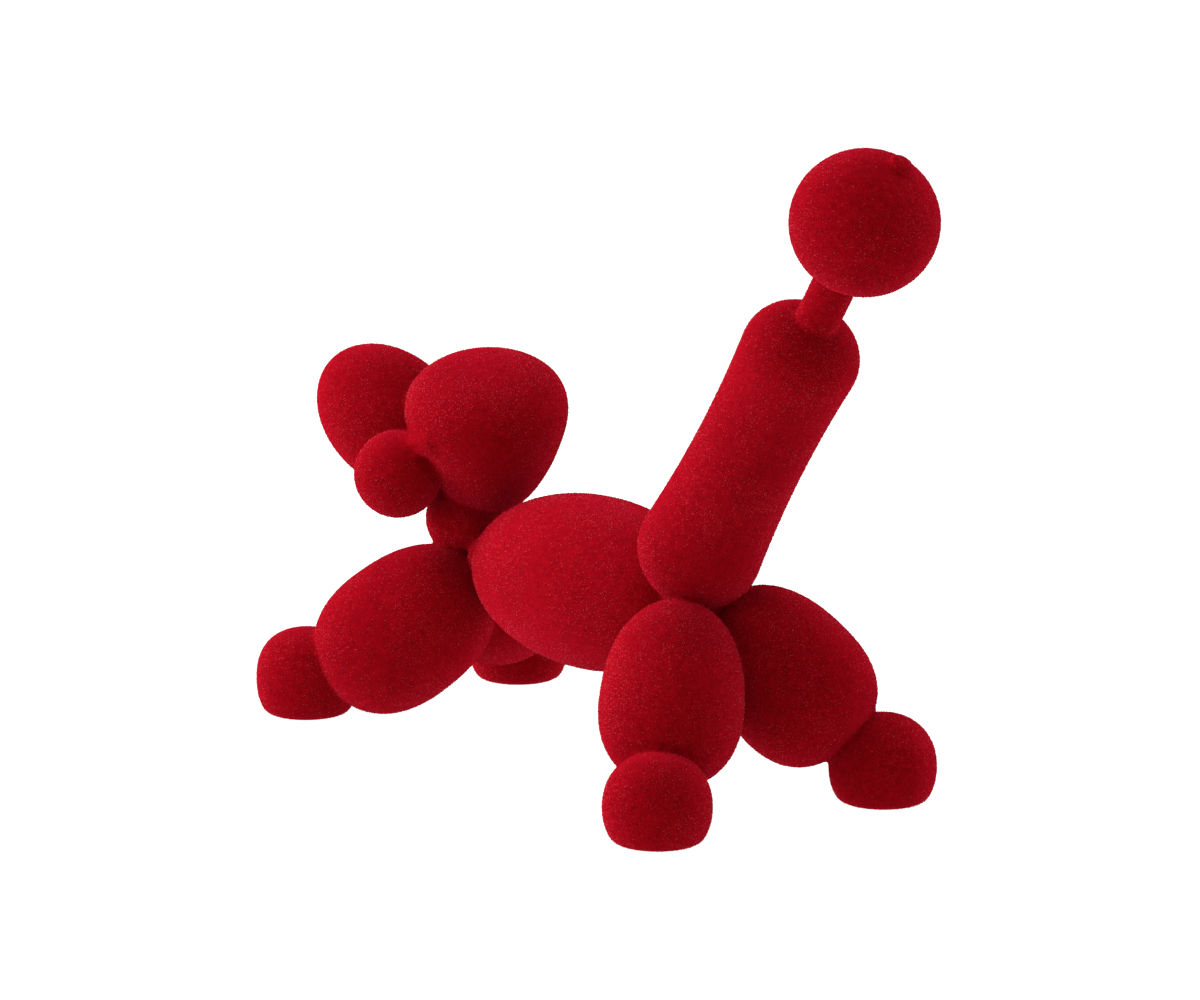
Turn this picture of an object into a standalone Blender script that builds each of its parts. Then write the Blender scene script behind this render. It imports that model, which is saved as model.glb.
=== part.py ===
"""Balloon poodle: a small cast ornament in the form of a dog twisted from balloons.

Metres, +Z up. The dog looks along -X with its head turned to its left, which is -Y,
and stands on four flat soles at z = 0. The casting is one piece. It is made of
bubbles, each a body of revolution about its own centre line, joined where they meet.
"""
import math

import bmesh
import bpy
from mathutils import Vector

# Trunk: one bubble that runs from the hips to the shoulders
BODY_LENGTH = 0.1159
BODY_RADIUS = 0.0290
BODY_TAPER = -0.02
HIP_HEIGHT = 0.0632
SHOULDER_DROP = 0.0055

# Cores where the bubbles of the hips and of the shoulders are twisted together
HIP_CORE_RADIUS = 0.0115
SHOULDER_CORE_RADIUS = 0.0092

# Feet: balls cut flat, with a rounded edge round each sole. The heights are of their centres
REAR_FOOT_RADIUS = 0.0178
REAR_FOOT_FULLNESS = 2.15
REAR_FOOT_HEIGHT = 0.0118
FRONT_FOOT_RADIUS = 0.0174
FRONT_FOOT_FULLNESS = 2.4
FRONT_FOOT_HEIGHT = 0.0124
SOLE_EDGE = 0.0016
REAR_FOOT_SPREAD = 0.0450
FRONT_FOOT_SPREAD = 0.0438
REAR_FOOT_REACH = 0.0420
FRONT_FOOT_REACH = 0.0497

# Legs: each starts inside the trunk and ends at an ankle inside its foot
LEFT_REAR_LEG_RADIUS = 0.0233
RIGHT_REAR_LEG_RADIUS = 0.0243
REAR_LEG_FULLNESS = 2.35
REAR_LEG_TAPER = 0.11
REAR_LEG_START = Vector((0.0031, 0.0084, 0.0013))
REAR_ANKLE = Vector((-0.0072, -0.0083, 0.0066))
FRONT_LEG_RADIUS = 0.0249
FRONT_LEG_FULLNESS = 2.36
FRONT_LEG_TAPER = 0.05
FRONT_LEG_START = Vector((-0.0014, 0.0054, -0.0052))
FRONT_ANKLE = Vector((0.0047, -0.0083, -0.0009))
RIGHT_ANKLE_SHIFT = Vector((-0.0044, -0.0031, 0.0152))

# Head: a neck ball, a muzzle ball and two ears that part near the crown. The near ear widens
# upwards like a pear, and a short stem ties the muzzle to its side
NECK_RADIUS = 0.0142
NECK_OFFSET = Vector((-0.0164, 0.0, 0.0112))
CROWN_OFFSET = Vector((-0.0046, 0.0012, 0.0105))
MUZZLE_RADIUS = 0.0150
MUZZLE_OFFSET = Vector((0.0032, -0.0283, 0.0077))
NEAR_EAR_RADIUS = 0.0249
NEAR_EAR_FULLNESS = 2.5
NEAR_EAR_TAPER = 0.40
NEAR_EAR_START = Vector((0.0069, 0.0075, -0.0078))
NEAR_EAR_SPAN = Vector((0.0154, -0.0133, 0.0516))
FAR_EAR_RADIUS = 0.0220
FAR_EAR_FULLNESS = 1.95
FAR_EAR_TAPER = 0.06
FAR_EAR_SPAN = Vector((-0.0398, -0.0270, 0.0399))
MUZZLE_STEM_RADIUS = 0.0038
MUZZLE_STEM_FULLNESS = 6.0
MUZZLE_STEM_START = Vector((0.0052, -0.0288, 0.0174))
MUZZLE_STEM_END = Vector((0.0231, -0.0257, 0.0215))

# Tail: a waisted tube from the hips, a stem, a ball and the small tied end. The tube's base
# is round and its top squarer. The pull is where its width would go without the two ends
TAIL_BASE_OFFSET = Vector((0.0039, 0.0, 0.0213))
TAIL_RISE = Vector((0.0513, 0.0, 0.0695))
TAIL_BASE_RADIUS = 0.0205
TAIL_WAIST_PULL = 0.0165
TAIL_TOP_RADIUS = 0.0194
TAIL_BASE_FULLNESS = 2.0
TAIL_TOP_FULLNESS = 2.2
TAIL_CAP_LENGTH = 0.0167
STEM_RADIUS = 0.0072
STEM_FULLNESS = 8.0
STEM_LENGTH = 0.0184
STEM_AIM = Vector((0.574, 0.0, 0.819))
TAIL_BALL_RADIUS = 0.0238
TAIL_BALL_HEIGHT = 0.0466
TIED_END_AIM = Vector((0.548, 0.152, 0.823))
TIED_END_RADIUS = 0.0042
TIED_END_DEPTH = 0.0012
TIED_END_PROUD = 0.0026
TIED_END_FULLNESS = 2.6

# How far the tail's stem reaches into the tube and into the ball
JOIN_DEPTH = 0.0040

# Facets round a bubble and along it, and steps along the rounded edge of a sole
LARGE_FACETS = (24, 12)
SMALL_FACETS = (18, 9)
EDGE_STEPS = 4
CREASE_ANGLE = math.radians(35.0)

FLOCK_RED = (0.27, 0.002, 0.006, 1.0)
FLOCK_ROUGHNESS = 0.95


def flock_material():
    material = bpy.data.materials.new("Red flock")
    material.use_nodes = True
    shader = material.node_tree.nodes["Principled BSDF"]
    shader.inputs["Base Color"].default_value = FLOCK_RED
    shader.inputs["Roughness"].default_value = FLOCK_ROUGHNESS
    shader.inputs["Metallic"].default_value = 0.0
    material.diffuse_color = FLOCK_RED
    return material


def side_vector(direction):
    """A unit vector across the direction, the same way round for all bubbles."""
    return direction.cross(Vector((0.0, 1.0, 0.0))).normalized()


def add_skin(name, rings, start_pole, end_pole):
    """A closed skin over rings of points, each ring anticlockwise seen from its end."""
    mesh = bpy.data.meshes.new(name)
    skin = bmesh.new()
    loops = [[skin.verts.new(point) for point in ring] for ring in rings]
    first = skin.verts.new(start_pole)
    last = skin.verts.new(end_pole)
    count = len(loops[0])
    for i in range(count):
        j = (i + 1) % count
        skin.faces.new((first, loops[0][j], loops[0][i]))
        for lower, upper in zip(loops, loops[1:]):
            skin.faces.new((lower[i], lower[j], upper[j], upper[i]))
        skin.faces.new((loops[-1][i], loops[-1][j], last))
    bmesh.ops.recalc_face_normals(skin, faces=skin.faces)
    bmesh.ops.triangulate(skin, faces=skin.faces)
    skin.to_mesh(mesh)
    skin.free()
    bubble = bpy.data.objects.new(name, mesh)
    bubbles.objects.link(bubble)
    bubble.hide_render = True
    bubble.display_type = "WIRE"
    return bubble


def circle(centre, direction, radius, count):
    across = side_vector(direction)
    beside = direction.cross(across).normalized()
    angles = (2.0 * math.pi * i / count for i in range(count))
    return [centre + radius * (math.cos(a) * across + math.sin(a) * beside) for a in angles]


def add_bubble(name, start, end, radius, fullness=2.0, taper=0.0, facets=LARGE_FACETS):
    """An egg between two points. Fullness 2 is an ellipse, and more is squarer.
    A taper above 0 makes the far end the larger one."""
    around, along = facets
    axis = (end - start).normalized()
    rings = []
    for i in range(1, along):
        t = -math.cos(math.pi * i / along)
        centre = start.lerp(end, (1.0 + t) / 2.0)
        width = radius * (1.0 - abs(t) ** fullness) ** (1.0 / fullness) * (1.0 + taper * t)
        rings.append(circle(centre, axis, width, around))
    return add_skin(name, rings, start, end)


def add_ball(name, centre, radius, height=None, facets=SMALL_FACETS):
    up = Vector((0.0, 0.0, (height or 2.0 * radius) / 2.0))
    return add_bubble(name, centre - up, centre + up, radius, facets=facets)


def add_foot(name, centre, radius, fullness):
    """A full ball on a flat sole at z = 0. A curve that is tangent to both rounds the edge."""
    around, along = SMALL_FACETS
    up = Vector((0.0, 0.0, 1.0))

    def width(z):
        share = abs(z - centre.z) / radius
        return radius * max(0.0, 1.0 - share ** fullness) ** (1.0 / fullness)

    step = SOLE_EDGE / 100.0
    slope = (width(SOLE_EDGE + step) - width(SOLE_EDGE - step)) / (2.0 * step)
    corner = width(SOLE_EDGE) - slope * SOLE_EDGE
    profile = []
    for i in range(EDGE_STEPS):
        s = i / EDGE_STEPS
        r = (1.0 - s) ** 2 * (corner - SOLE_EDGE) + 2.0 * s * (1.0 - s) * corner + s ** 2 * width(SOLE_EDGE)
        profile.append((r, s ** 2 * SOLE_EDGE))
    lowest = math.acos((centre.z - SOLE_EDGE) / radius)
    for i in range(along):
        angle = lowest + (math.pi - lowest) * i / along
        z = centre.z - radius * math.cos(angle)
        profile.append((width(z), z))
    ground = Vector((centre.x, centre.y, 0.0))
    rings = [circle(ground + up * z, up, r, around) for r, z in profile]
    return add_skin(name, rings, ground, ground + up * (centre.z + radius))


def add_tail_tube(name, base, top):
    """A tube between two points, which goes on past both into a round base and a squarer top."""
    around, along = LARGE_FACETS
    length = (top - base).length
    axis = (top - base).normalized()
    cap_rings = along // 3

    def ring(distance, closing):
        """The ring at a distance along the tube, closed in by an angle from 0 to a quarter turn."""
        s = distance / length
        width = ((1.0 - s) ** 2 * TAIL_BASE_RADIUS + 2.0 * s * (1.0 - s) * TAIL_WAIST_PULL
                 + s ** 2 * TAIL_TOP_RADIUS)
        inner = min(max(s, 0.0), 1.0)
        fullness = TAIL_BASE_FULLNESS + (TAIL_TOP_FULLNESS - TAIL_BASE_FULLNESS) * inner
        width *= math.cos(closing) ** (2.0 / fullness)
        return circle(base + axis * distance, axis, width, around)

    angles = [math.pi / 2.0 * i / (cap_rings + 0.5) for i in range(1, cap_rings + 1)]
    rings = [ring(-TAIL_BASE_RADIUS * math.sin(a), a) for a in reversed(angles)]
    rings += [ring(length * i / along, 0.0) for i in range(along + 1)]
    rings += [ring(length + TAIL_CAP_LENGTH * math.sin(a), a) for a in angles]
    return add_skin(name, rings, base - axis * TAIL_BASE_RADIUS, top + axis * TAIL_CAP_LENGTH)


def mirrored(vector, side):
    return Vector((vector.x, vector.y * side, vector.z))


def add_legs(hips, shoulders):
    """A leg and a foot at each corner. Side -1 is the dog's left and 1 its right."""
    sides = ((-1.0, "left", LEFT_REAR_LEG_RADIUS), (1.0, "right", RIGHT_REAR_LEG_RADIUS))
    for side, word, rear_radius in sides:
        foot = Vector((hips.x + REAR_FOOT_REACH, side * REAR_FOOT_SPREAD, REAR_FOOT_HEIGHT))
        start = hips + mirrored(REAR_LEG_START, side)
        add_bubble("rear_leg_" + word, start, foot + mirrored(REAR_ANKLE, side),
                   rear_radius, REAR_LEG_FULLNESS, REAR_LEG_TAPER)
        add_foot("rear_foot_" + word, foot, REAR_FOOT_RADIUS, REAR_FOOT_FULLNESS)

        foot = Vector((shoulders.x - FRONT_FOOT_REACH, side * FRONT_FOOT_SPREAD, FRONT_FOOT_HEIGHT))
        start = shoulders + mirrored(FRONT_LEG_START, side)
        ankle = foot + mirrored(FRONT_ANKLE, side)
        if word == "right":
            ankle += RIGHT_ANKLE_SHIFT
        add_bubble("front_leg_" + word, start, ankle, FRONT_LEG_RADIUS, FRONT_LEG_FULLNESS, FRONT_LEG_TAPER)
        add_foot("front_foot_" + word, foot, FRONT_FOOT_RADIUS, FRONT_FOOT_FULLNESS)


def add_head(shoulders):
    neck = shoulders + NECK_OFFSET
    crown = neck + CROWN_OFFSET
    near_ear = crown + NEAR_EAR_START
    add_ball("neck", neck, NECK_RADIUS)
    add_ball("muzzle", crown + MUZZLE_OFFSET, MUZZLE_RADIUS)
    add_bubble("near_ear", near_ear, near_ear + NEAR_EAR_SPAN, NEAR_EAR_RADIUS,
               NEAR_EAR_FULLNESS, NEAR_EAR_TAPER)
    add_bubble("far_ear", crown, crown + FAR_EAR_SPAN, FAR_EAR_RADIUS, FAR_EAR_FULLNESS, FAR_EAR_TAPER)
    add_bubble("muzzle_stem", crown + MUZZLE_STEM_START, crown + MUZZLE_STEM_END,
               MUZZLE_STEM_RADIUS, MUZZLE_STEM_FULLNESS, facets=SMALL_FACETS)


def add_tail(hips):
    base = hips + TAIL_BASE_OFFSET
    top = base + TAIL_RISE
    add_tail_tube("tail_tube", base, top)
    axis = STEM_AIM.normalized()
    shoulder = top + axis * TAIL_CAP_LENGTH
    ball = shoulder + axis * (STEM_LENGTH + TAIL_BALL_RADIUS)
    add_bubble("tail_stem", shoulder - axis * JOIN_DEPTH, shoulder + axis * (STEM_LENGTH + JOIN_DEPTH),
               STEM_RADIUS, STEM_FULLNESS, facets=SMALL_FACETS)
    add_ball("tail_ball", ball, TAIL_BALL_RADIUS, TAIL_BALL_HEIGHT, LARGE_FACETS)
    outward = TIED_END_AIM.normalized()
    half_ball = Vector((TAIL_BALL_RADIUS, TAIL_BALL_RADIUS, TAIL_BALL_HEIGHT / 2.0))
    seat = ball + outward * half_ball
    add_bubble("tied_end", seat - outward * TIED_END_DEPTH, seat + outward * TIED_END_PROUD,
               TIED_END_RADIUS, TIED_END_FULLNESS, facets=SMALL_FACETS)


def join_bubbles(trunk):
    """Unites every bubble with the trunk, and stands the casting over the origin."""
    union = trunk.modifiers.new("Join bubbles", "BOOLEAN")
    union.operation = "UNION"
    union.solver = "EXACT"
    union.operand_type = "COLLECTION"
    union.collection = bubbles
    bpy.context.view_layer.update()
    evaluated = trunk.evaluated_get(bpy.context.evaluated_depsgraph_get())
    mesh = bpy.data.meshes.new_from_object(evaluated)
    trunk.modifiers.clear()
    xs = [vertex.co.x for vertex in mesh.vertices]
    ys = [vertex.co.y for vertex in mesh.vertices]
    for vertex in mesh.vertices:
        vertex.co.x -= (min(xs) + max(xs)) / 2.0
        vertex.co.y -= (min(ys) + max(ys)) / 2.0
    trunk.data = mesh
    mesh.materials.clear()
    mesh.materials.append(flock_material())
    mesh.shade_smooth()
    mesh.set_sharp_from_angle(angle=CREASE_ANGLE)


for leftover in list(bpy.data.objects):
    bpy.data.objects.remove(leftover)

bubbles = bpy.data.collections.new("Bubbles")
bpy.context.scene.collection.children.link(bubbles)

hips = Vector((0.0, 0.0, HIP_HEIGHT))
shoulders = Vector((-BODY_LENGTH, 0.0, HIP_HEIGHT - SHOULDER_DROP))

poodle = add_bubble("balloon_poodle", hips, shoulders, BODY_RADIUS, taper=BODY_TAPER)
bubbles.objects.unlink(poodle)
bpy.context.scene.collection.objects.link(poodle)
poodle.hide_render = False
poodle.display_type = "TEXTURED"

add_ball("hip_core", hips, HIP_CORE_RADIUS)
add_ball("shoulder_core", shoulders, SHOULDER_CORE_RADIUS)
add_legs(hips, shoulders)
add_head(shoulders)
add_tail(hips)
join_bubbles(poodle)
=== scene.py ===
"""Looks of the balloon poodle: a flocked casting on a pale floor.

Metres, +Z up. The dog looks along -X with its head turned to its left, which is -Y.
The fine skin follows the rule of the casting: egg-shaped bubbles, feet cut flat and a
tail tube, whose distances are blended so that each crease is softly rounded.
"""
import math

import bpy
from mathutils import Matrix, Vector


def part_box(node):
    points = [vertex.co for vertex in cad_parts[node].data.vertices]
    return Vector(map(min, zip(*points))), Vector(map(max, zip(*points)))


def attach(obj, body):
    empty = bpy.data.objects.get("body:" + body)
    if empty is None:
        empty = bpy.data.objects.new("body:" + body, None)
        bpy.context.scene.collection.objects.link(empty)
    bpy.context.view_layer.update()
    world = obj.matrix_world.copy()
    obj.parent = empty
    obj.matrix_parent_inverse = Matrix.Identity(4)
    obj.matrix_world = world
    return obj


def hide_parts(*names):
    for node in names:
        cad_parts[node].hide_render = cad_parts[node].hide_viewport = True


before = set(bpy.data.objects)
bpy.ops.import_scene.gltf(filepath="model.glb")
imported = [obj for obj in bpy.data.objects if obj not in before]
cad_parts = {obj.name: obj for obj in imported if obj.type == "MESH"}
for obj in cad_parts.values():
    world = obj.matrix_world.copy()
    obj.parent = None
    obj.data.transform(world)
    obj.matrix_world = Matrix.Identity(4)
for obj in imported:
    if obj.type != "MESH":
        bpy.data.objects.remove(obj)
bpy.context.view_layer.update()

X_AXIS = Vector((1.0, 0.0, 0.0))
Y_AXIS = Vector((0.0, 1.0, 0.0))
Z_AXIS = Vector((0.0, 0.0, 1.0))
WHITE = (1.0, 1.0, 1.0, 1.0)
NEAR_ZERO = 0.001

# Trunk: one bubble that runs from the hips to the shoulders
BODY_LENGTH = 0.1159
BODY_RADIUS = 0.0290
BODY_TAPER = -0.02
HIP_HEIGHT = 0.0632
SHOULDER_DROP = 0.0055
HIP_CORE_RADIUS = 0.0115
SHOULDER_CORE_RADIUS = 0.0092

# Feet: balls cut flat, with a rounded edge round each sole
REAR_FOOT_RADIUS = 0.0178
REAR_FOOT_FULLNESS = 2.15
REAR_FOOT_HEIGHT = 0.0118
FRONT_FOOT_RADIUS = 0.0174
FRONT_FOOT_FULLNESS = 2.4
FRONT_FOOT_HEIGHT = 0.0124
SOLE_BLEND = 0.0035
REAR_FOOT_SPREAD = 0.0450
FRONT_FOOT_SPREAD = 0.0438
REAR_FOOT_REACH = 0.0420
FRONT_FOOT_REACH = 0.0497

# Legs
LEFT_REAR_LEG_RADIUS = 0.0233
RIGHT_REAR_LEG_RADIUS = 0.0243
REAR_LEG_FULLNESS = 2.35
REAR_LEG_TAPER = 0.11
REAR_LEG_START = Vector((0.0031, 0.0084, 0.0013))
REAR_ANKLE = Vector((-0.0072, -0.0083, 0.0066))
FRONT_LEG_RADIUS = 0.0249
FRONT_LEG_FULLNESS = 2.36
FRONT_LEG_TAPER = 0.05
FRONT_LEG_START = Vector((-0.0014, 0.0054, -0.0052))
FRONT_ANKLE = Vector((0.0047, -0.0083, -0.0009))
RIGHT_ANKLE_SHIFT = Vector((-0.0044, -0.0031, 0.0152))

# Head: neck ball, muzzle ball, two ears and the stem between the muzzle and the near ear
NECK_RADIUS = 0.0142
NECK_OFFSET = Vector((-0.0164, 0.0, 0.0112))
CROWN_OFFSET = Vector((-0.0046, 0.0012, 0.0105))
MUZZLE_RADIUS = 0.0150
MUZZLE_OFFSET = Vector((0.0032, -0.0283, 0.0077))
NEAR_EAR_RADIUS = 0.0249
NEAR_EAR_FULLNESS = 2.5
NEAR_EAR_TAPER = 0.40
NEAR_EAR_START = Vector((0.0069, 0.0075, -0.0078))
NEAR_EAR_SPAN = Vector((0.0154, -0.0133, 0.0516))
FAR_EAR_RADIUS = 0.0220
FAR_EAR_FULLNESS = 1.95
FAR_EAR_TAPER = 0.06
FAR_EAR_SPAN = Vector((-0.0398, -0.0270, 0.0399))
MUZZLE_STEM_RADIUS = 0.0038
MUZZLE_STEM_FULLNESS = 6.0
MUZZLE_STEM_START = Vector((0.0052, -0.0288, 0.0174))
MUZZLE_STEM_END = Vector((0.0231, -0.0257, 0.0215))

# Tail: waisted tube, stem, ball and the small tied end
TAIL_BASE_OFFSET = Vector((0.0039, 0.0, 0.0213))
TAIL_RISE = Vector((0.0513, 0.0, 0.0695))
TAIL_BASE_RADIUS = 0.0205
TAIL_WAIST_PULL = 0.0165
TAIL_TOP_RADIUS = 0.0194
TAIL_BASE_FULLNESS = 2.0
TAIL_TOP_FULLNESS = 2.2
TAIL_CAP_LENGTH = 0.0167
STEM_RADIUS = 0.0072
STEM_FULLNESS = 8.0
STEM_LENGTH = 0.0184
STEM_AIM = Vector((0.574, 0.0, 0.819))
TAIL_BALL_RADIUS = 0.0238
TAIL_BALL_HEIGHT = 0.0466
TIED_END_AIM = Vector((0.548, 0.152, 0.823))
TIED_END_RADIUS = 0.0042
TIED_END_DEPTH = 0.0012
TIED_END_PROUD = 0.0026
TIED_END_FULLNESS = 2.6
JOIN_DEPTH = 0.0040

# Fine skin, which lies below the tips of the nap. Its volume has SKIN_LEVEL at the surface.
SKIN_CELL = 0.00125
SKIN_LEVEL = 5.0
CREASE_BLEND = 0.0015
STEM_BLEND = 0.0045
SKIN_MARGIN = 0.006
SKIN_DEPTH = 0.0002
SETTLING_STEPS = 3

# Nap: tufts of fibre that stand all over the skin, in pieces from the nose to the tail.
# A tuft tilts both ways by its lean, and turns about itself by more, as TUFT_SWAY says.
NAP_PIECES = ("nap_front_feet", "nap_head", "nap_trunk", "nap_hips", "nap_tail")
TUFTS_PER_PIECE = 42000
TUFT_HEIGHT = 0.00040
TUFT_RADIUS = 0.00020
TUFT_SINK = 0.00015
TUFT_LEAN = math.radians(32.0)
TUFT_SWAY = Vector((1.0, 1.0, 6.0))
TUFT_GROWTH = (0.65, 1.3)
TUFT_SEED = 7
SOLE_CLEARANCE = 0.0006

# Painted glints: the same tufts in a pale pink that stands for light caught by fibre tips, thicker in some
# patches than in others
PAINTED_GLINT_COUNT = 60000
PAINTED_GLINT_PATCHINESS = 6.0
PATCH_SCALE = 55.0
PATCH_FLOOR = 0.05

# Flock: the noise scales of its grain, clumps and drift, its colours from dark to pale, and its
# softness. The colours are random tones of the flock, and the palest stop is painted glints.
GRAIN_SCALE = 1500.0
CLUMP_SCALE = 420.0
DRIFT_SCALE = 38.0
FLOCK_REDS = (
    (0.30, (0.065, 0.0003, 0.0010, 1.0)),
    (0.50, (0.162, 0.0007, 0.0021, 1.0)),
    (0.62, (0.210, 0.0014, 0.0040, 1.0)),
    # Palest stop: painted glints of light on fibre tips, where the grain peaks
    (0.72, (0.400, 0.0400, 0.0600, 1.0)),
)
FLOCK_ROUGHNESS = 0.95
FLOCK_SHEEN = 0.36
FLOCK_BUMP_STRENGTH = 0.55
FLOCK_BUMP_HEIGHT = 0.0004
FIBRE_RED = (0.175, 0.0008, 0.0024, 1.0)
# Pale pink of the tufts that are painted glints of light on fibre tips
PAINTED_GLINT_PINK = (0.380, 0.036, 0.050, 1.0)
FIBRE_ROUGHNESS = 0.9
FIBRE_SHEEN = 0.26
SHEEN_ROUGHNESS = 0.6
SHEEN_TINT = (1.0, 0.018, 0.060, 1.0)

# View, from the fitted camera: one photograph pixel is 0.33 mm at the aim point
VIEW_AZIMUTH = 54.92
VIEW_ELEVATION = 12.26
VIEW_DISTANCE = 2.2726
VIEW_AIM = Vector((-0.0186, 0.0, 0.0889))
VIEW_REACH = 50.0
FOCAL_PIXELS = 6886.6
IMAGE_WIDTH = 1200
SENSOR_WIDTH = 36.0

# Studio: a floor that glows white, so that shadows on it stay faint, and soft boxes in the air.
# Each box has a name, its direction as shares of right, up and toward the camera, and its watts.
AMBIENT_STRENGTH = 0.6
FLOOR_GLOW = 1.0
FLOOR_GREY = (0.3, 0.3, 0.3, 1.0)
FLOOR_ROUGHNESS = 0.9
FLOOR_SIZE = 60.0
BOX_DISTANCE = 1.6
BOX_SIZE = 0.9
SOFT_BOXES = (
    ("Left box", (-0.92, 0.25, 0.15), 25.0),
    ("Left rear box", (-0.80, 0.60, -0.50), 19.0),
    ("Top box", (0.0, 1.0, -0.1), 11.0),
    ("Top front box", (0.1, 0.8, 0.6), 3.0),
    ("Right rear box", (0.85, 0.30, -0.35), 12.0),
)


class Flow:
    """A socket of a node tree, with Python's operators adding Math nodes."""

    def __init__(self, graph, socket):
        self.graph = graph
        self.socket = socket

    def is_vector(self):
        return self.socket.type == "VECTOR"

    def maths(self, operation, *others, flip=False):
        terms = [self, *others]
        if flip:
            terms.reverse()
        vector = any(isinstance(t, Vector) or (isinstance(t, Flow) and t.is_vector()) for t in terms)
        kind = "VectorMath" if vector else "Math"
        return self.graph.add(kind, {"operation": operation}, dict(enumerate(terms)))

    def __add__(self, other):
        return self.maths("ADD", other)

    def __radd__(self, other):
        return self.maths("ADD", other)

    def __sub__(self, other):
        return self.maths("SUBTRACT", other)

    def __rsub__(self, other):
        return self.maths("SUBTRACT", other, flip=True)

    def __mul__(self, other):
        return self.maths("MULTIPLY", other)

    def __rmul__(self, other):
        return self.maths("MULTIPLY", other)

    def __truediv__(self, other):
        return self.maths("DIVIDE", other)

    def __rtruediv__(self, other):
        return self.maths("DIVIDE", other, flip=True)

    def __pow__(self, other):
        return self.maths("POWER", other)

    def __abs__(self):
        return self.maths("ABSOLUTE")

    def __neg__(self):
        return self.maths("MULTIPLY", -1.0)

    def scaled(self, factor):
        return self.graph.add("VectorMath", {"operation": "SCALE"}, {"Vector": self, "Scale": factor})

    def dot(self, other):
        return self.graph.add("VectorMath", {"operation": "DOT_PRODUCT"}, {0: self, 1: other}, "Value")

    def length(self):
        return self.graph.add("VectorMath", {"operation": "LENGTH"}, {0: self}, "Value")

    def unit(self):
        return self.graph.add("VectorMath", {"operation": "NORMALIZE"}, {0: self})

    def root(self):
        return self.maths("SQRT")

    def above(self, other):
        return self.maths("GREATER_THAN", other)

    def at_or_below(self, other):
        return 1.0 - self.above(other)

    def at_least(self, floor):
        return self.maths("MAXIMUM", floor)

    def at_most(self, ceiling):
        return self.maths("MINIMUM", ceiling)

    def smoothly_at_most(self, other, distance):
        return self.maths("SMOOTH_MIN", other, distance)

    def smoothly_at_least(self, other, distance):
        return self.maths("SMOOTH_MAX", other, distance)


class Graph:
    """A node tree that is built by calls, for shaders and for geometry alike."""

    WHOLE_NAMES = ("NodeGroup", "FunctionNode")
    SHARED_KINDS = ("Math", "VectorMath", "TexNoise")

    def __init__(self, tree):
        self.tree = tree
        self.own_prefix = "GeometryNode" if tree.bl_idname == "GeometryNodeTree" else "ShaderNode"

    def prefix(self, kind):
        if kind.startswith(self.WHOLE_NAMES):
            return ""
        return "ShaderNode" if kind in self.SHARED_KINDS else self.own_prefix

    def add(self, kind, settings=None, values=None, output=0):
        """Adds one node, applies its settings, fills its sockets and gives one output."""
        node = self.tree.nodes.new(self.prefix(kind) + kind)
        for key, value in (settings or {}).items():
            if key == "stops":
                self.set_stops(node, value)
            else:
                setattr(node, key, value)
        for key, value in (values or {}).items():
            socket = node.inputs[key]
            if isinstance(value, Flow):
                self.tree.links.new(value.socket, socket)
            else:
                socket.default_value = value
        return Flow(self, node.outputs[output]) if node.outputs else node

    @staticmethod
    def set_stops(node, stops):
        elements = node.color_ramp.elements
        while len(elements) > 1:
            elements.remove(elements[-1])
        elements[0].position, elements[0].color = stops[0]
        for position, colour in stops[1:]:
            elements.new(position).color = colour

    def random_number(self, low, high, seed):
        """A random number for each point. The node has more sockets than its kind shows."""
        node = self.add("FunctionNodeRandomValue", {"data_type": "FLOAT"}, {"Seed": seed}).socket.node
        limits = [socket for socket in node.inputs if socket.type == "VALUE" and socket.enabled]
        for socket, limit in zip(limits, (low, high)):
            socket.default_value = limit
        return Flow(self, next(socket for socket in node.outputs if socket.enabled))

    def input_sockets(self):
        node = self.add("NodeGroupInput").socket.node
        return {socket.name: Flow(self, socket) for socket in node.outputs if socket.name}


def new_tree(name, inputs, outputs):
    """A geometry tree with named sockets. Each is a name, a socket type and a start value."""
    tree = bpy.data.node_groups.new(name, "GeometryNodeTree")
    for label, kind, value in inputs:
        socket = tree.interface.new_socket(label, in_out="INPUT", socket_type="NodeSocket" + kind)
        if value is not None:
            socket.default_value = value
    for label, kind in outputs:
        tree.interface.new_socket(label, in_out="OUTPUT", socket_type="NodeSocket" + kind)
    return tree


def egg_tree():
    """Distance to an egg between two points: its level above 1, over how steeply that rises.
    Fullness 2 is an ellipse, and more is squarer. A taper above 0 makes the far end the larger."""
    tree = new_tree("Egg distance",
                    [("Start", "Vector", None), ("End", "Vector", None), ("Radius", "Float", 0.01),
                     ("Fullness", "Float", 2.0), ("Taper", "Float", 0.0)],
                    [("Distance", "Float")])
    graph = Graph(tree)
    size = graph.input_sockets()
    span = size["End"] - size["Start"]
    half = span.length() * 0.5
    offset = graph.add("InputPosition") - (size["Start"] + size["End"]).scaled(0.5)
    along = offset.dot(span.unit())
    across = (offset.dot(offset) - along * along).at_least(0.0).root()
    width = size["Radius"] * (1.0 + size["Taper"] * along / half)
    n = size["Fullness"]
    x = abs(along) / half
    y = across / width
    level = (x ** n + y ** n) ** (1.0 / n)
    steep_x = x ** (n - 1.0) / half
    steep_y = y ** (n - 1.0) / width
    slope = level ** (1.0 - n) * (steep_x * steep_x + steep_y * steep_y).root()
    graph.add("NodeGroupOutput", {}, {"Distance": (level - 1.0) / slope.at_least(NEAR_ZERO)})
    return tree


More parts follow.
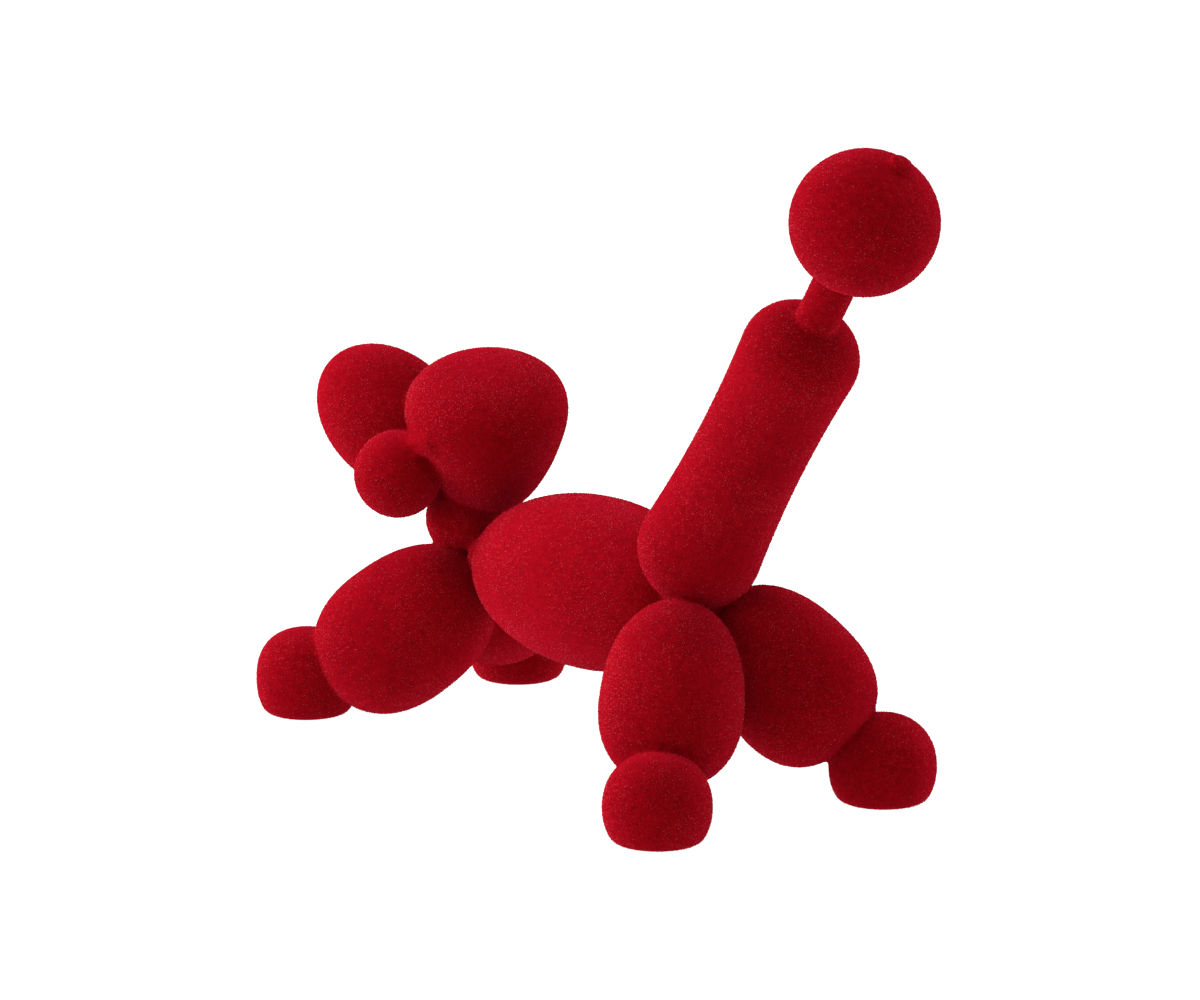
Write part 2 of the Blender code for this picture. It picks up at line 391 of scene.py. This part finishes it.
def tail_tree():
    """Distance to a waisted tube that goes on past both ends into a round base and a top cap."""
    tree = new_tree("Tail distance",
                    [("Base", "Vector", None), ("Top", "Vector", None), ("Base Radius", "Float", 0.02),
                     ("Waist Pull", "Float", 0.02), ("Top Radius", "Float", 0.02), ("Cap", "Float", 0.02),
                     ("Base Fullness", "Float", 2.0), ("Top Fullness", "Float", 2.0)],
                    [("Distance", "Float")])
    graph = Graph(tree)
    size = graph.input_sockets()
    span = size["Top"] - size["Base"]
    offset = graph.add("InputPosition") - size["Base"]
    along = offset.dot(span.unit())
    across = (offset.dot(offset) - along * along).at_least(0.0).root()
    s = along / span.length()
    rest = 1.0 - s
    width = (rest * rest * size["Base Radius"] + 2.0 * s * rest * size["Waist Pull"]
             + s * s * size["Top Radius"])
    share = s.at_least(0.0).at_most(1.0)
    n = size["Base Fullness"] + (size["Top Fullness"] - size["Base Fullness"]) * share
    below = (-along / size["Base Radius"]).at_least(0.0)
    beyond = ((along - span.length()) / size["Cap"]).at_least(0.0)
    spread = across / width.at_least(NEAR_ZERO)
    level = spread ** n + below * below + beyond * beyond
    steep_x = 2.0 * (below / size["Base Radius"] + beyond / size["Cap"])
    steep_y = n * spread ** (n - 1.0) / width.at_least(NEAR_ZERO)
    slope = (steep_x * steep_x + steep_y * steep_y).root()
    graph.add("NodeGroupOutput", {}, {"Distance": (level - 1.0) / slope.at_least(NEAR_ZERO)})
    return tree


def mirrored(vector, side):
    return Vector((vector.x, vector.y * side, vector.z))


def plan_bubbles():
    """Every bubble of the casting, as a kind and its sizes. The tail ball's far side gives X."""
    axis = STEM_AIM.normalized()
    tail_top = TAIL_BASE_OFFSET + TAIL_RISE
    shoulder = tail_top + axis * TAIL_CAP_LENGTH
    ball = shoulder + axis * (STEM_LENGTH + TAIL_BALL_RADIUS)
    hips = Vector((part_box("balloon_poodle")[1][0] - ball.x - TAIL_BALL_RADIUS, 0.0, HIP_HEIGHT))
    shoulders = hips - Vector((BODY_LENGTH, 0.0, SHOULDER_DROP))
    plan = []

    def egg(start, end, radius, fullness=2.0, taper=0.0, kind="Egg"):
        plan.append((kind, {"Start": start, "End": end, "Radius": radius,
                            "Fullness": fullness, "Taper": taper}))

    def ball_at(centre, radius, height=None, fullness=2.0, kind="Egg"):
        up = Z_AXIS * ((height or 2.0 * radius) / 2.0)
        egg(centre - up, centre + up, radius, fullness, 0.0, kind)

    egg(hips, shoulders, BODY_RADIUS, 2.0, BODY_TAPER)
    ball_at(hips, HIP_CORE_RADIUS)
    ball_at(shoulders, SHOULDER_CORE_RADIUS)
    for side, rear_radius in ((-1.0, LEFT_REAR_LEG_RADIUS), (1.0, RIGHT_REAR_LEG_RADIUS)):
        rear = Vector((hips.x + REAR_FOOT_REACH, side * REAR_FOOT_SPREAD, REAR_FOOT_HEIGHT))
        egg(hips + mirrored(REAR_LEG_START, side), rear + mirrored(REAR_ANKLE, side),
            rear_radius, REAR_LEG_FULLNESS, REAR_LEG_TAPER)
        ball_at(rear, REAR_FOOT_RADIUS, None, REAR_FOOT_FULLNESS, "Foot")
        front = Vector((shoulders.x - FRONT_FOOT_REACH, side * FRONT_FOOT_SPREAD, FRONT_FOOT_HEIGHT))
        ankle = front + mirrored(FRONT_ANKLE, side)
        if side > 0.0:
            ankle += RIGHT_ANKLE_SHIFT
        egg(shoulders + mirrored(FRONT_LEG_START, side), ankle,
            FRONT_LEG_RADIUS, FRONT_LEG_FULLNESS, FRONT_LEG_TAPER)
        ball_at(front, FRONT_FOOT_RADIUS, None, FRONT_FOOT_FULLNESS, "Foot")

    neck = shoulders + NECK_OFFSET
    crown = neck + CROWN_OFFSET
    near_ear = crown + NEAR_EAR_START
    ball_at(neck, NECK_RADIUS)
    ball_at(crown + MUZZLE_OFFSET, MUZZLE_RADIUS)
    egg(near_ear, near_ear + NEAR_EAR_SPAN, NEAR_EAR_RADIUS, NEAR_EAR_FULLNESS, NEAR_EAR_TAPER)
    egg(crown, crown + FAR_EAR_SPAN, FAR_EAR_RADIUS, FAR_EAR_FULLNESS, FAR_EAR_TAPER)
    egg(crown + MUZZLE_STEM_START, crown + MUZZLE_STEM_END, MUZZLE_STEM_RADIUS, MUZZLE_STEM_FULLNESS,
        kind="Stem")

    plan.append(("Tail", {"Base": hips + TAIL_BASE_OFFSET, "Top": hips + tail_top,
                          "Base Radius": TAIL_BASE_RADIUS, "Waist Pull": TAIL_WAIST_PULL,
                          "Top Radius": TAIL_TOP_RADIUS, "Cap": TAIL_CAP_LENGTH,
                          "Base Fullness": TAIL_BASE_FULLNESS, "Top Fullness": TAIL_TOP_FULLNESS}))
    egg(hips + shoulder - axis * JOIN_DEPTH, hips + shoulder + axis * (STEM_LENGTH + JOIN_DEPTH),
        STEM_RADIUS, STEM_FULLNESS)
    ball_at(hips + ball, TAIL_BALL_RADIUS, TAIL_BALL_HEIGHT)
    outward = TIED_END_AIM.normalized()
    half_ball = Vector((TAIL_BALL_RADIUS, TAIL_BALL_RADIUS, TAIL_BALL_HEIGHT / 2.0))
    seat = hips + ball + outward * half_ball
    egg(seat - outward * TIED_END_DEPTH, seat + outward * TIED_END_PROUD, TIED_END_RADIUS, TIED_END_FULLNESS)
    return plan


def skin_tree(plan, material):
    """Blends the distances of all bubbles, meshes where they vanish and settles the points there."""
    low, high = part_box("balloon_poodle")
    margin = Vector((SKIN_MARGIN, SKIN_MARGIN, SKIN_MARGIN))
    tree = new_tree("Poodle skin",
                    [("Crease", "Float", CREASE_BLEND), ("Cell", "Float", SKIN_CELL),
                     ("Depth", "Float", SKIN_DEPTH), ("Low", "Vector", Vector(low) - margin),
                     ("High", "Vector", Vector(high) + margin)],
                    [("Geometry", "Geometry")])
    graph = Graph(tree)
    size = graph.input_sockets()
    egg = egg_tree()
    groups = {"Egg": egg, "Foot": egg, "Stem": egg, "Tail": tail_tree()}
    below_floor = -graph.add("InputPosition").dot(Z_AXIS)
    distance = None
    for kind, values in plan:
        one = graph.add("Group", {"node_tree": groups[kind]}, values)
        if kind == "Foot":
            one = one.smoothly_at_least(below_floor, SOLE_BLEND)
        crease = STEM_BLEND if kind == "Stem" else size["Crease"]
        distance = one if distance is None else distance.smoothly_at_most(one, crease)
    density = (SKIN_LEVEL - distance / size["Cell"]).at_least(0.0).at_most(2.0 * SKIN_LEVEL)
    extent = size["High"] - size["Low"]
    volume = graph.add("VolumeCube", {}, {"Density": density, "Min": size["Low"], "Max": size["High"],
                                          "Resolution X": extent.dot(X_AXIS) / size["Cell"],
                                          "Resolution Y": extent.dot(Y_AXIS) / size["Cell"],
                                          "Resolution Z": extent.dot(Z_AXIS) / size["Cell"]})
    mesh = graph.add("VolumeToMesh", {}, {"Volume": volume, "Threshold": SKIN_LEVEL})
    for _ in range(SETTLING_STEPS):
        slide = graph.add("InputNormal").scaled(-distance - size["Depth"])
        mesh = graph.add("SetPosition", {}, {"Geometry": mesh, "Offset": slide})
    mesh = graph.add("SetShadeSmooth", {}, {"Geometry": mesh})
    mesh = graph.add("RealizeInstances", {}, {"Geometry": mesh})
    mesh = graph.add("SetMaterial", {}, {"Geometry": mesh, "Material": material})
    graph.add("NodeGroupOutput", {}, {"Geometry": mesh})
    return tree


def nap_tree(material):
    """Stands slender tufts on the part of a skin between two places along X, clear of the floor."""
    tree = new_tree("Flock nap",
                    [("Skin", "Object", None), ("From", "Float", -1.0), ("To", "Float", 1.0),
                     ("Tufts", "Float", 1.0e6), ("Seed", "Int", 0), ("Height", "Float", TUFT_HEIGHT),
                     ("Radius", "Float", TUFT_RADIUS), ("Lean", "Float", TUFT_LEAN),
                     ("Patchiness", "Float", 0.0)],
                    [("Geometry", "Geometry")])
    graph = Graph(tree)
    size = graph.input_sockets()
    skin = graph.add("ObjectInfo", {}, {"Object": size["Skin"]}, "Geometry")
    position = graph.add("InputPosition")
    x = position.dot(X_AXIS)
    z = position.dot(Z_AXIS)
    inside = x.above(size["From"]) * x.at_or_below(size["To"]) * z.above(SOLE_CLEARANCE)
    cloud = graph.add("TexNoise", {}, {"Vector": position, "Scale": PATCH_SCALE, "Detail": 2.0}, "Fac")
    patches = (1.0 + size["Patchiness"] * (cloud - 0.5)).at_least(PATCH_FLOOR)
    points = graph.add("DistributePointsOnFaces", {"distribute_method": "RANDOM"},
                       {"Mesh": skin, "Selection": inside, "Density": size["Tufts"] * patches,
                        "Seed": size["Seed"]})
    upright = Flow(graph, points.socket.node.outputs["Rotation"])
    outward = Flow(graph, points.socket.node.outputs["Normal"])
    lean = graph.add("FunctionNodeRandomValue", {"data_type": "FLOAT_VECTOR"},
                     {"Min": -TUFT_SWAY, "Max": TUFT_SWAY, "Seed": size["Seed"]}).scaled(size["Lean"])
    turn = graph.add("FunctionNodeEulerToRotation", {}, {"Euler": lean})
    turned = graph.add("FunctionNodeRotateRotation", {"rotation_space": "LOCAL"},
                       {"Rotation": upright, "Rotate By": turn})
    points = graph.add("SetPosition", {}, {"Geometry": points, "Offset": outward.scaled(-TUFT_SINK)})
    tuft = graph.add("MeshCone", {"fill_type": "NONE"},
                     {"Vertices": 3, "Radius Top": 0.0, "Radius Bottom": size["Radius"],
                      "Depth": size["Height"]})
    grown_by = graph.random_number(*TUFT_GROWTH, size["Seed"] + 1.0)
    tufts = graph.add("InstanceOnPoints", {}, {"Points": points, "Instance": tuft,
                                               "Rotation": turned, "Scale": grown_by})
    tufts = graph.add("RealizeInstances", {}, {"Geometry": tufts})
    tufts = graph.add("SetShadeSmooth", {}, {"Geometry": tufts})
    tufts = graph.add("SetMaterial", {}, {"Geometry": tufts, "Material": material})
    graph.add("NodeGroupOutput", {}, {"Geometry": tufts})
    return tree


def grown(name, tree, **sizes):
    """Runs a geometry tree on an empty mesh and keeps the result as a plain mesh object."""
    piece = bpy.data.objects.new(name, bpy.data.meshes.new(name))
    bpy.context.scene.collection.objects.link(piece)
    growth = piece.modifiers.new("Growth", "NODES")
    growth.node_group = tree
    for item in tree.interface.items_tree:
        if item.in_out == "INPUT" and item.name in sizes:
            growth[item.identifier] = sizes[item.name]
    bpy.context.view_layer.update()
    evaluated = piece.evaluated_get(bpy.context.evaluated_depsgraph_get())
    mesh = bpy.data.meshes.new_from_object(evaluated)
    piece.modifiers.clear()
    piece.data = mesh
    mesh.name = name
    return piece


def soft_material(name, roughness, sheen, colour_and_normal):
    """A matt material with the sheen of fibres. The last value makes what else its shader takes."""
    material = bpy.data.materials.new(name)
    material.use_nodes = True
    material.node_tree.nodes.clear()
    graph = Graph(material.node_tree)
    shader = graph.add("BsdfPrincipled", {}, {"Roughness": roughness, "Specular IOR Level": 0.0,
                                              "Sheen Weight": sheen, "Sheen Roughness": SHEEN_ROUGHNESS,
                                              "Sheen Tint": SHEEN_TINT, **colour_and_normal(graph)})
    graph.add("OutputMaterial", {}, {"Surface": shader})
    return material


def flock_material():
    """Deep red flock: dark face on, pale at a grazing view, with a fine grain of standing fibres and painted
    glints where the grain peaks.
    """
    def grain_and_painted_glints(graph):
        def noise(scale, detail, roughness):
            return graph.add("TexNoise", {}, {"Vector": place, "Scale": scale, "Detail": detail,
                                              "Roughness": roughness}, "Fac")

        place = graph.add("TexCoord", {}, {}, "Object")
        grain = noise(GRAIN_SCALE, 3.0, 0.7)
        clumps = noise(CLUMP_SCALE, 2.0, 0.5)
        drift = noise(DRIFT_SCALE, 3.0, 0.6)
        shade = 0.55 * grain + 0.25 * clumps + 0.2 * drift
        # Random tones of the flock, with painted glints at the pale end of the ramp
        colour = graph.add("ValToRGB", {"stops": FLOCK_REDS}, {"Fac": shade}, "Color")
        bump = graph.add("Bump", {}, {"Strength": FLOCK_BUMP_STRENGTH, "Distance": FLOCK_BUMP_HEIGHT,
                                      "Height": 0.7 * grain + 0.3 * clumps})
        return {"Base Color": colour, "Normal": bump}

    return soft_material("Red flock", FLOCK_ROUGHNESS, FLOCK_SHEEN, grain_and_painted_glints)


def fibre_material(name, colour):
    """The tips of the flock, in one plain colour."""
    return soft_material(name, FIBRE_ROUGHNESS, FIBRE_SHEEN, lambda graph: {"Base Color": colour})


def keep(piece):
    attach(piece, "root")


def make_skin():
    skin = grown("balloon_poodle_skin", skin_tree(plan_bubbles(), flock_material()))
    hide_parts("balloon_poodle")
    keep(skin)
    return skin


def cuts_along(skin, count):
    """Places along X that cut the skin into parts of equal area, and its whole area."""
    faces = sorted((face.center.x, face.area) for face in skin.data.polygons)
    total = sum(area for _, area in faces)
    cuts = [-1.0]
    passed = 0.0
    for x, area in faces:
        passed += area
        if passed >= total * len(cuts) / count and len(cuts) < count:
            cuts.append(x)
    return cuts + [1.0], total


def make_nap(skin):
    cuts, area = cuts_along(skin, len(NAP_PIECES))
    fibres = nap_tree(fibre_material("Flock fibre", FIBRE_RED))
    tufts = TUFTS_PER_PIECE * len(NAP_PIECES) / area
    for number, name in enumerate(NAP_PIECES):
        keep(grown(name, fibres, Skin=skin, From=cuts[number], To=cuts[number + 1],
                   Tufts=tufts, Seed=TUFT_SEED + number))
    # Pale tufts scattered in patches: painted glints of light on the fibre tips
    painted_glints = nap_tree(fibre_material("Painted glint", PAINTED_GLINT_PINK))
    keep(grown("nap_flecks", painted_glints, Skin=skin, Tufts=PAINTED_GLINT_COUNT / area,
               Seed=TUFT_SEED + len(NAP_PIECES), Patchiness=PAINTED_GLINT_PATCHINESS))


def view_axes():
    """The camera's right, the world's up and the way from the object to the camera."""
    turn = math.radians(VIEW_AZIMUTH)
    rise = math.radians(VIEW_ELEVATION)
    right = Vector((math.cos(turn), math.sin(turn), 0.0))
    back = Vector((math.sin(turn) * math.cos(rise), -math.cos(turn) * math.cos(rise), math.sin(rise)))
    return right, Z_AXIS, back


def make_camera():
    back = view_axes()[2]
    data = bpy.data.cameras.new("Camera")
    data.sensor_width = SENSOR_WIDTH
    data.lens = SENSOR_WIDTH * FOCAL_PIXELS / IMAGE_WIDTH
    data.clip_end = VIEW_REACH
    camera = bpy.data.objects.new("Camera", data)
    camera.location = VIEW_AIM + back * VIEW_DISTANCE
    camera.rotation_euler = back.to_track_quat("Z", "Y").to_euler()
    bpy.context.scene.collection.objects.link(camera)
    bpy.context.scene.camera = camera


def make_lights():
    right, up, back = view_axes()
    for name, shares, watts in SOFT_BOXES:
        toward = (right * shares[0] + up * shares[1] + back * shares[2]).normalized()
        data = bpy.data.lights.new(name, "AREA")
        data.shape = "DISK"
        data.size = BOX_SIZE
        data.energy = watts
        light = bpy.data.objects.new(name, data)
        light.location = VIEW_AIM + toward * BOX_DISTANCE
        light.rotation_euler = toward.to_track_quat("Z", "Y").to_euler()
        bpy.context.scene.collection.objects.link(light)


def make_stage():
    world = bpy.data.worlds.new("Studio")
    world.use_nodes = True
    sky = world.node_tree.nodes["Background"]
    sky.inputs["Color"].default_value = WHITE
    sky.inputs["Strength"].default_value = AMBIENT_STRENGTH
    bpy.context.scene.world = world
    bpy.context.scene.view_settings.view_transform = "Standard"

    bpy.ops.mesh.primitive_plane_add(size=FLOOR_SIZE)
    floor = bpy.context.object
    floor.name = "floor"
    paint = bpy.data.materials.new("Pale floor")
    paint.use_nodes = True
    shader = paint.node_tree.nodes["Principled BSDF"]
    for socket, value in (("Base Color", FLOOR_GREY), ("Roughness", FLOOR_ROUGHNESS),
                          ("Specular IOR Level", 0.0), ("Emission Color", WHITE),
                          ("Emission Strength", FLOOR_GLOW)):
        shader.inputs[socket].default_value = value
    floor.data.materials.append(paint)


make_camera()
make_nap(make_skin())
make_stage()
make_lights()
